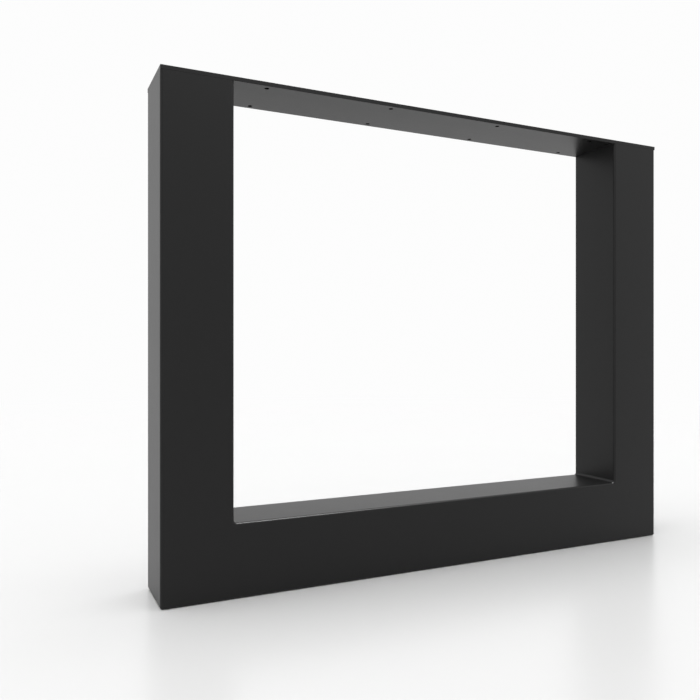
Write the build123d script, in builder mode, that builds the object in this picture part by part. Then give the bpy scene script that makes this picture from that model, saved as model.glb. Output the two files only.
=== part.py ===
from build123d import *
import os

# A table leg: a U-frame of steel box section, welded at its mitred lower corners and closed across
# the top by a drilled flat bar, which the table top is screwed to. Millimetres, +Z up. X runs along
# the width of the leg, Y from front to back, and the origin is on the floor, at the leg's middle.

# Overall size
overall_width = 900.0
overall_height = 720.0
frame_depth = 100.0

# Box section of the frame, cold-formed from sheet
upright_width = 100.0
rail_height = 105.0
tube_wall = 2.0
tube_bend_radius = 2.0

# Weld bead in each inner corner, dressed to a hollow fillet
weld_radius = 5.0

# Screw plate, with a row of holes along each long edge, clear of the uprights
plate_thickness = 6.0
plate_edge_radius = 0.5
screw_hole_diameter = 7.0
screw_holes_per_row = 4
screw_to_upright = 50.0
screw_to_plate_edge = 10.0

# Sizes that follow from these
tube_top = overall_height - plate_thickness
tube_edge_radius = tube_bend_radius + tube_wall
upright_middle = (overall_width - upright_width) / 2
inner_corner = overall_width / 2 - upright_width
screw_pitch = 2 * (inner_corner - screw_to_upright) / (screw_holes_per_row - 1)
screw_row_spacing = frame_depth - 2 * screw_to_plate_edge
weld_reach = 2 * (weld_radius + tube_edge_radius)

sides = {"left": -1, "right": 1}

os.makedirs("parts", exist_ok=True)


def mitre_plane(side):
    """The cut from a lower outer corner up to the inner corner, facing the upright."""
    return Plane(
        origin=(side * overall_width / 2, 0, 0),
        x_dir=(0, 1, 0),
        z_dir=(side * rail_height, 0, upright_width),
    )


def front_and_back_edges(builder):
    """Outline edges of the front and back faces, lowest first."""
    return builder.faces().filter_by(Axis.Y).edges().sort_by(Axis.Z)


# Floor rail: the outer form with its rounded edges, cut at both mitres
with BuildPart() as rail_form:
    with BuildSketch(Plane.XZ):
        Rectangle(overall_width, rail_height, align=(Align.CENTER, Align.MIN))
    extrude(amount=frame_depth / 2, both=True)
    lower_corners = rail_form.edges().filter_by(Axis.Y).group_by(Axis.Z)[0]
    fillet(front_and_back_edges(rail_form) + lower_corners, tube_edge_radius)
    for side in sides.values():
        split(bisect_by=mitre_plane(side), keep=Keep.BOTTOM)

# Floor rail: hollow, open at both mitres
with BuildPart() as floor_rail:
    add(rail_form.part)
    with BuildSketch(Plane.YZ.offset(-overall_width / 2)):
        with Locations((0, rail_height / 2)):
            RectangleRounded(frame_depth - 2 * tube_wall, rail_height - 2 * tube_wall, tube_bend_radius)
    extrude(amount=overall_width, mode=Mode.SUBTRACT)

floor_rail.part.label = "floor_rail"
export_step(floor_rail.part, "parts/floor_rail.step")

for side_name, side in sides.items():
    # Upright: the outer form with its rounded edges, cut at its foot by the mitre
    with BuildPart() as upright_form:
        with BuildSketch(Plane.XZ):
            with Locations((side * upright_middle, 0)):
                Rectangle(upright_width, tube_top, align=(Align.CENTER, Align.MIN))
        extrude(amount=frame_depth / 2, both=True)
        below_the_top = front_and_back_edges(upright_form)[:-2]
        outer_foot = (side * overall_width / 2, 0, 0)
        lower_corner = upright_form.edges().filter_by(Axis.Y).sort_by_distance(outer_foot)[:1]
        fillet(below_the_top + lower_corner, tube_edge_radius)
        split(bisect_by=mitre_plane(side), keep=Keep.TOP)

    # Upright: hollow, open at the mitre and at the top
    with BuildPart() as upright:
        add(upright_form.part)
        with BuildSketch():
            with Locations((side * upright_middle, 0)):
                RectangleRounded(
                    upright_width - 2 * tube_wall, frame_depth - 2 * tube_wall, tube_bend_radius
                )
        extrude(amount=tube_top, mode=Mode.SUBTRACT)

    upright.part.label = f"{side_name}_upright"
    export_step(upright.part, f"parts/{side_name}_upright.step")

    # Weld bead: fills the inner corner and runs out over the tubes' rounded edges, front and back
    with BuildPart() as corner_weld:
        with BuildSketch(Plane.XZ) as corner:
            with Locations((side * inner_corner, rail_height)):
                Rectangle(2 * weld_reach, 2 * weld_reach)
                towards_middle = Align.MAX if side > 0 else Align.MIN
                Rectangle(weld_reach, weld_reach, align=(towards_middle, Align.MIN), mode=Mode.SUBTRACT)
            root = corner.vertices().sort_by_distance((side * inner_corner, rail_height))[0]
            fillet(root, weld_radius)
        extrude(amount=frame_depth / 2, both=True)
        hollow_face = corner_weld.faces().filter_by(GeomType.CYLINDER)[0]
        fillet(hollow_face.edges().filter_by(GeomType.CIRCLE), tube_edge_radius)
        add(rail_form.part, mode=Mode.SUBTRACT)
        add(upright_form.part, mode=Mode.SUBTRACT)

    corner_weld.part.label = f"{side_name}_corner_weld"
    export_step(corner_weld.part, f"parts/{side_name}_corner_weld.step")

# Screw plate: flat bar over the tubes' open tops, edges broken, drilled in two rows
with BuildPart() as top_plate:
    with BuildSketch(Plane.XY.offset(tube_top)):
        Rectangle(overall_width, frame_depth)
    extrude(amount=plate_thickness)
    fillet(top_plate.edges(), plate_edge_radius)
    with Locations((0, 0, overall_height)):
        with GridLocations(screw_pitch, screw_row_spacing, screw_holes_per_row, 2):
            Hole(screw_hole_diameter / 2)

top_plate.part.label = "top_plate"
export_step(top_plate.part, "parts/top_plate.step")
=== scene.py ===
import math

import bmesh
import bpy
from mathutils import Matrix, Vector


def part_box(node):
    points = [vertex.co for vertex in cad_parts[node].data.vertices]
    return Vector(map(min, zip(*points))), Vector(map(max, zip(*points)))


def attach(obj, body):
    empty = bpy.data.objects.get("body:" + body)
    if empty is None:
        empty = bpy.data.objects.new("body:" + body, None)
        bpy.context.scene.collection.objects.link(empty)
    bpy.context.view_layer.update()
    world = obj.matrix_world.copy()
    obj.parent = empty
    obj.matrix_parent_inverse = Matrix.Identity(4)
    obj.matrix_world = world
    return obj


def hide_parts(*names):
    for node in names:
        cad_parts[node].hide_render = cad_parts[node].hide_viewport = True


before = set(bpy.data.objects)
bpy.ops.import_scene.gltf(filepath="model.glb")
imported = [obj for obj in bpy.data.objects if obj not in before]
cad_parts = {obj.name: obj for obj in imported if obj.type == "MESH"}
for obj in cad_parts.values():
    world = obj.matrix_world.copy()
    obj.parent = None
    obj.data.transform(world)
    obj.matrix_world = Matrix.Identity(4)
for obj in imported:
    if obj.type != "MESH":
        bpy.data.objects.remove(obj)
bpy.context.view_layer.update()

# Floor rail.
# Cold-formed steel box section that lies on the floor, mitred at both ends and welded to the uprights.
# Once welded, the frame is powder coated: satin black with a fine orange peel, thinner over the edges.
coat_specular_level = 0.265
tube_coat = {
    "Flat Colour": (0.0032, 0.0032, 0.0033, 1.0),
    "Edge Colour": (0.005, 0.005, 0.0051, 1.0),
    "Lump Size": 0.0024,
    "Lump Height": 0.00005,
    "Grain Size": 0.00042,
    "Grain Height": 0.000014,
    "Satin": 0.375,
    "Unevenness": 0.035,
}


def calculate(tree, operation, *terms):
    """A Math node fed by numbers or by other nodes' sockets; gives back the socket of its result."""
    node = tree.nodes.new("ShaderNodeMath")
    node.operation = operation
    for socket, term in zip(node.inputs, terms):
        if isinstance(term, (int, float)):
            socket.default_value = term
        else:
            tree.links.new(term, socket)
    return node.outputs["Value"]


def effect_group(name, kind, inputs, output):
    """A shader node group whose named inputs and one output are of one kind, and its two end nodes."""
    group = bpy.data.node_groups.new(name, "ShaderNodeTree")
    for label in inputs:
        group.interface.new_socket(label, in_out="INPUT", socket_type=kind)
    group.interface.new_socket(output, in_out="OUTPUT", socket_type=kind)
    return group, group.nodes.new("NodeGroupInput"), group.nodes.new("NodeGroupOutput")


def lumps(tree, size, detail=2.0):
    """Soft lumps and hollows of the given size in metres, level on the whole and fixed to the piece."""
    place = tree.nodes.new("ShaderNodeTexCoord")
    noise = tree.nodes.new("ShaderNodeTexNoise")
    noise.inputs["Detail"].default_value = detail
    tree.links.new(place.outputs["Object"], noise.inputs["Vector"])
    tree.links.new(calculate(tree, "DIVIDE", 1.0, size), noise.inputs["Scale"])
    noise_level = 0.5
    return calculate(tree, "SUBTRACT", noise.outputs["Fac"], noise_level)


def orange_peel_group():
    """Height in metres of the skin that melted powder leaves: lumps millimetres wide and a fine grain."""
    sizes = ("Lump Size", "Lump Height", "Grain Size", "Grain Height")
    group, given, result = effect_group("orange_peel", "NodeSocketFloat", sizes, "Height")
    lump = lumps(group, given.outputs["Lump Size"], detail=1.0)
    grain = lumps(group, given.outputs["Grain Size"])
    lump_height = calculate(group, "MULTIPLY", lump, given.outputs["Lump Height"])
    grain_height = calculate(group, "MULTIPLY", grain, given.outputs["Grain Height"])
    group.links.new(calculate(group, "ADD", lump_height, grain_height), result.inputs["Height"])
    return group


def satin_group():
    """Roughness that drifts slowly with how thick the powder lay, and a little from speck to speck."""
    group, given, result = effect_group("satin", "NodeSocketFloat", ("Satin", "Unevenness"), "Roughness")
    drift_size = 0.16
    speck_size = 0.011
    speck_share = 0.5
    specks = calculate(group, "MULTIPLY", lumps(group, speck_size), speck_share)
    drift = calculate(group, "ADD", lumps(group, drift_size), specks)
    change = calculate(group, "MULTIPLY", drift, given.outputs["Unevenness"])
    group.links.new(calculate(group, "ADD", given.outputs["Satin"], change), result.inputs["Roughness"])
    return group


def soft_step(tree, value, low, high):
    """0 at low, 1 at high and smooth between them; high may be the smaller of the two."""
    step = tree.nodes.new("ShaderNodeMapRange")
    step.interpolation_type = "SMOOTHSTEP"
    step.inputs["From Min"].default_value = low
    step.inputs["From Max"].default_value = high
    tree.links.new(value, step.inputs["Value"])
    return step.outputs["Result"]


def blend_colours(tree, share, first, second):
    """The first colour where share is 0, the second where it is 1; the second may be a plain colour."""
    mix = tree.nodes.new("ShaderNodeMix")
    mix.data_type = "RGBA"
    sockets = {socket.identifier: socket for socket in (*mix.inputs, *mix.outputs)}
    tree.links.new(share, sockets["Factor_Float"])
    tree.links.new(first, sockets["A_Color"])
    if isinstance(second, tuple):
        sockets["B_Color"].default_value = second
    else:
        tree.links.new(second, sockets["B_Color"])
    return sockets["Result_Color"]


def thin_edges_group():
    """Colour of the coat, lighter where one flat face turns into the next and the powder lies thin."""
    colours = ("Flat Colour", "Edge Colour")
    group, given, result = effect_group("thin_edges", "NodeSocketColor", colours, "Color")
    flat = 0.995
    fully_turned = 0.75
    place = group.nodes.new("ShaderNodeTexCoord")
    facing = group.nodes.new("ShaderNodeSeparateXYZ")
    group.links.new(place.outputs["Normal"], facing.inputs["Vector"])
    x, y, z = (calculate(group, "ABSOLUTE", facing.outputs[axis]) for axis in "XYZ")
    flatness = calculate(group, "MAXIMUM", calculate(group, "MAXIMUM", x, y), z)
    turned = soft_step(group, flatness, flat, fully_turned)
    colour = blend_colours(group, turned, given.outputs["Flat Colour"], given.outputs["Edge Colour"])
    group.links.new(colour, result.inputs["Color"])
    return group


orange_peel = orange_peel_group()
satin = satin_group()
thin_edges = thin_edges_group()


def coat_material(name, coat):
    """Powder coat with its own colour, orange peel and gloss."""
    material = bpy.data.materials.new(name)
    material.use_nodes = True
    tree = material.node_tree
    shader = tree.nodes["Principled BSDF"]
    shader.inputs["Specular IOR Level"].default_value = coat_specular_level
    effects = {}
    for group in (orange_peel, satin, thin_edges):
        effect = tree.nodes.new("ShaderNodeGroup")
        effect.node_tree = group
        for socket in effect.inputs:
            socket.default_value = coat[socket.name]
        effects[group.name] = effect
    bump = tree.nodes.new("ShaderNodeBump")
    height_unit = 1.0
    bump.inputs["Distance"].default_value = height_unit
    tree.links.new(effects["orange_peel"].outputs["Height"], bump.inputs["Height"])
    tree.links.new(bump.outputs["Normal"], shader.inputs["Normal"])
    tree.links.new(effects["satin"].outputs["Roughness"], shader.inputs["Roughness"])
    tree.links.new(effects["thin_edges"].outputs["Color"], shader.inputs["Base Color"])
    return material


def dress(node, material):
    """Gives a piece of the frame its finish."""
    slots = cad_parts[node].data.materials
    slots.clear()
    slots.append(material)


coat_on_tube = coat_material("coat_on_tube", tube_coat)
dress("floor_rail", coat_on_tube)

# Uprights.
# Two more lengths of box section, cut to a mitre at the foot and square at the top. They stand on
# the rail's ends, and the seams on the outside are ground flush before the coat goes on.
for side_name in ("left", "right"):
    dress(f"{side_name}_upright", coat_on_tube)

# Corner welds.
# One run of weld in each inner corner, where the rail meets an upright. It is dressed to a hollow
# fillet that keeps a soft ripple, and runs out over the rounded edges of the tubes, front and back.
weld_coat = {**tube_coat, "Lump Size": 0.0026, "Satin": 0.38, "Unevenness": 0.04}
ripple_pitch = 0.0034
ripple_height = 0.00007
ripple_bow = 0.0018
ripple_fade = 2 * ripple_pitch
pitch_waves = ((0.0007, 0.0131, 0.0), (0.0004, 0.0057, 1.0))
width_waves = ((0.00022, 0.0173, 1.0), (0.00011, 0.0071, 0.0))
fusion_depth = 0.0006
toe_depth = 0.00004
end_inset = 0.00002
sharp_edge = math.radians(40)
arc_steps = 32
rim_steps = 10
run_step = 0.0004


def waver(along, waves):
    """How far the welder's hand strays: a sum of waves, each a height, a length per radian and a start."""
    return sum(height * math.sin(along / length + start) for height, length, start in waves)


def weld_ripple(along, across):
    """Height of the ripples: rounded crests that bow forward in the bead's middle; across is 0 to 1."""
    off_toes = math.sin(math.pi * across)
    place = along + waver(along, pitch_waves) + ripple_bow * off_toes
    return ripple_height * abs(math.cos(math.pi * place / ripple_pitch)) * off_toes**2


def weld_stations(front, back, rim):
    """Places along the bead, front to back, each with how far the tubes' rounded edge drops there."""
    turns = [math.pi / 2 * step / rim_steps for step in range(rim_steps, 0, -1)]
    rims = [(rim * math.sin(turn), rim * (1 - math.cos(turn))) for turn in turns]
    run_length = back - front - 2 * rim
    run_count = round(run_length / run_step)
    stations = [(front + rim - out, drop) for out, drop in rims]
    stations += [(front + rim + run_length * step / run_count, 0.0) for step in range(run_count + 1)]
    stations += [(back - rim + out, drop) for out, drop in reversed(rims)]
    return stations


def weld_outline(along, drop, fade, weld_radius):
    """The bead cut across, as steps outward and up from the inner corner: its hollow arc, then its root."""
    radius = weld_radius + fade * waver(along, width_waves)
    outline = []
    for step in range(arc_steps + 1):
        across = step / arc_steps
        turn = math.pi / 2 * across
        reach = radius + drop + toe_depth - fade * weld_ripple(along, across)
        outline.append((reach * math.sin(turn) - radius, radius - reach * math.cos(turn)))
    root = drop + fusion_depth
    outline.append((root, -root))
    return outline


def weld_bead(name, node, side):
    """The bead as a closed mesh, in the inner corner on the given side (-1 left, 1 right)."""
    bead_low, bead_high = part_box(node)
    upright_low, upright_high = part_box(node.replace("corner_weld", "upright"))
    corner_x = upright_low.x if side > 0 else upright_high.x
    corner_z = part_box("floor_rail")[1].z
    weld_radius = bead_high.z - corner_z
    rim = bead_high.z - bead_low.z - weld_radius
    front = bead_low.y + end_inset
    back = bead_high.y - end_inset
    mesh = bmesh.new()
    sections = []
    for place, drop in weld_stations(front, back, rim):
        from_rim = min(place - front, back - place) - rim
        fade = min(1.0, max(0.0, from_rim / ripple_fade))
        outline = weld_outline(place * side, drop, fade, weld_radius)
        points = [(corner_x + side * out, place, corner_z + up) for out, up in outline]
        sections.append([mesh.verts.new(point) for point in points])
    for near, far in zip(sections, sections[1:]):
        for step in range(len(near)):
            mesh.faces.new((near[step - 1], near[step], far[step], far[step - 1])).smooth = True
    mesh.faces.new(sections[0])
    mesh.faces.new(sections[-1])
    bmesh.ops.recalc_face_normals(mesh, faces=mesh.faces)
    for edge in mesh.edges:
        edge.smooth = edge.calc_face_angle(0.0) < sharp_edge
    data = bpy.data.meshes.new(name)
    mesh.to_mesh(data)
    mesh.free()
    bead = bpy.data.objects.new(name, data)
    bpy.context.scene.collection.objects.link(bead)
    return bead


coat_on_weld = coat_material("coat_on_weld", weld_coat)
for side_name, side in (("left", -1), ("right", 1)):
    weld_node = f"{side_name}_corner_weld"
    bead = weld_bead(f"{side_name}_corner_bead", weld_node, side)
    bead.data.materials.append(coat_on_weld)
    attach(bead, "root")
    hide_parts(weld_node)

# Screw plate.
# Flat steel bar welded over the open ends of the uprights, drilled in two rows for a table top's screws
# and coated with the frame. Powder hardly reaches into the holes, so their walls are bare steel,
# painted near-black as painted shade for the dark inside of the holes.
plate_coat = {**tube_coat, "Lump Size": 0.0032, "Lump Height": 0.00006, "Satin": 0.37, "Unevenness": 0.04}
# Near-black for the hole walls is painted shade, not the colour of bare steel.
painted_bore_shade = (0.004, 0.004, 0.004, 1.0)
bore_roughness = 0.55
bore_margin = 0.003
wall_tilt = 0.5


def paint_shade_in_bores(material, node):
    """Bare steel on the upright walls that lie inside the plate's outline, its screw holes, painted
    near-black as the shade inside them.
    """
    tree = material.node_tree
    shader = tree.nodes["Principled BSDF"]
    place = tree.nodes.new("ShaderNodeTexCoord")
    point = tree.nodes.new("ShaderNodeSeparateXYZ")
    facing = tree.nodes.new("ShaderNodeSeparateXYZ")
    tree.links.new(place.outputs["Object"], point.inputs["Vector"])
    tree.links.new(place.outputs["Normal"], facing.inputs["Vector"])
    bore = calculate(tree, "LESS_THAN", calculate(tree, "ABSOLUTE", facing.outputs["Z"]), wall_tilt)
    for axis, low, high in zip("XY", *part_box(node)):
        from_middle = calculate(tree, "SUBTRACT", point.outputs[axis], (low + high) / 2)
        reach = (high - low) / 2 - bore_margin
        inside = calculate(tree, "LESS_THAN", calculate(tree, "ABSOLUTE", from_middle), reach)
        bore = calculate(tree, "MULTIPLY", bore, inside)
    coat_colour = shader.inputs["Base Color"].links[0].from_socket
    coat_roughness = shader.inputs["Roughness"].links[0].from_socket
    rougher = calculate(tree, "SUBTRACT", bore_roughness, coat_roughness)
    roughness = calculate(tree, "MULTIPLY_ADD", rougher, bore, coat_roughness)
    # The hole walls turn near-black here: painted shade for the inside of the holes.
    tree.links.new(blend_colours(tree, bore, coat_colour, painted_bore_shade), shader.inputs["Base Color"])
    tree.links.new(roughness, shader.inputs["Roughness"])
    tree.links.new(bore, shader.inputs["Metallic"])


coat_on_plate = coat_material("coat_on_plate", plate_coat)
paint_shade_in_bores(coat_on_plate, "top_plate")
dress("top_plate", coat_on_plate)

# Studio light.
# A white dome all round, with one long softbox overhead that lies along the leg and lights the floor.
# A small strip light, high in front, serves reflections only and draws highlights on the rounded edges.
studio_white = (1.0, 1.0, 1.0, 1.0)
dome_light = 0.98
softbox_light = 6.0
softbox_span_x = (-0.6, 0.4)
softbox_span_y = (-0.25, 0.25)
softbox_rim = 0.2
strip_place = Vector((0.5, -0.48, 2.4))
strip_aim = Vector((-0.27, -0.05, 0.1))
strip_size = (0.58, 0.48)
strip_power = 63.0


def soft_span(tree, value, span):
    """1 inside the span and 0 outside it, with soft ends."""
    half = softbox_rim / 2
    entering = soft_step(tree, value, span[0] - half, span[0] + half)
    leaving = soft_step(tree, value, span[1] + half, span[1] - half)
    return calculate(tree, "MULTIPLY", entering, leaving)


world = bpy.data.worlds.new("studio")
world.use_nodes = True
bpy.context.scene.world = world
sky = world.node_tree
direction = sky.nodes.new("ShaderNodeTexCoord")
towards = sky.nodes.new("ShaderNodeSeparateXYZ")
sky.links.new(direction.outputs["Generated"], towards.inputs["Vector"])
in_width = soft_span(sky, towards.outputs["X"], softbox_span_x)
in_depth = soft_span(sky, towards.outputs["Y"], softbox_span_y)
overhead = calculate(sky, "GREATER_THAN", towards.outputs["Z"], 0.0)
softbox = calculate(sky, "MULTIPLY", calculate(sky, "MULTIPLY", in_width, in_depth), overhead)
brightness = calculate(sky, "MULTIPLY_ADD", softbox, softbox_light - dome_light, dome_light)
sky.links.new(brightness, sky.nodes["Background"].inputs["Strength"])
sky.nodes["Background"].inputs["Color"].default_value = studio_white
strip_data = bpy.data.lights.new("strip_light", "AREA")
strip_data.shape = "RECTANGLE"
strip_data.size = strip_size[0]
strip_data.size_y = strip_size[1]
strip_data.energy = strip_power
strip = bpy.data.objects.new("strip_light", strip_data)
strip.location = strip_place
strip.rotation_euler = (strip_aim - strip_place).to_track_quat("-Z", "Y").to_euler()
strip.visible_diffuse = False
bpy.context.scene.collection.objects.link(strip)
bpy.context.scene.view_settings.view_transform = "Standard"

# Studio floor.
# A plain pale sheet with a slight gloss. Its white is set so that, under this light, the open floor is
# just as bright as the dome. Well away from the leg it gives way to the dome's own glow, without a line.
floor_size = 20.0
floor_fade = (1.0, 4.0)
floor_specular_level = 0.57
floor_roughness = 0.26
softbox_width = softbox_span_x[1] - softbox_span_x[0]
softbox_depth = softbox_span_y[1] - softbox_span_y[0]
softbox_share = softbox_width * softbox_depth / math.pi
floor_white = dome_light / (dome_light + (softbox_light - dome_light) * softbox_share)
bpy.ops.mesh.primitive_plane_add(size=floor_size)
floor = bpy.context.object
floor.name = "studio_floor"
floor_paint = bpy.data.materials.new("studio_floor")
floor_paint.use_nodes = True
floor_tree = floor_paint.node_tree
floor_shader = floor_tree.nodes["Principled BSDF"]
floor_shader.inputs["Base Color"].default_value = (floor_white, floor_white, floor_white, 1.0)
floor_shader.inputs["Specular IOR Level"].default_value = floor_specular_level
floor_shader.inputs["Roughness"].default_value = floor_roughness
floor_point = floor_tree.nodes.new("ShaderNodeTexCoord")
from_leg = floor_tree.nodes.new("ShaderNodeVectorMath")
from_leg.operation = "LENGTH"
floor_tree.links.new(floor_point.outputs["Object"], from_leg.inputs["Vector"])
far_glow = floor_tree.nodes.new("ShaderNodeEmission")
far_glow.inputs["Color"].default_value = studio_white
far_glow.inputs["Strength"].default_value = dome_light
floor_blend = floor_tree.nodes.new("ShaderNodeMixShader")
far_share, near_end, far_end = floor_blend.inputs
floor_tree.links.new(soft_step(floor_tree, from_leg.outputs["Value"], *floor_fade), far_share)
floor_tree.links.new(floor_shader.outputs["BSDF"], near_end)
floor_tree.links.new(far_glow.outputs["Emission"], far_end)
floor_tree.links.new(floor_blend.outputs["Shader"], floor_tree.nodes["Material Output"].inputs["Surface"])
floor.data.materials.append(floor_paint)

# Camera.
# A level camera at about half the leg's height, off its left end and turned in towards the middle.
camera_place = (-0.6221, -1.0026, 0.3434)
camera_tilt = math.radians(90.0)
camera_turn = math.radians(-25.18)
camera_lens = 36.57
camera_sensor = 36.0
camera_data = bpy.data.cameras.new("camera")
camera_data.sensor_width = camera_sensor
camera_data.lens = camera_lens
camera = bpy.data.objects.new("camera", camera_data)
camera.location = camera_place
camera.rotation_euler = (camera_tilt, 0.0, camera_turn)
bpy.context.scene.collection.objects.link(camera)
bpy.context.scene.camera = camera
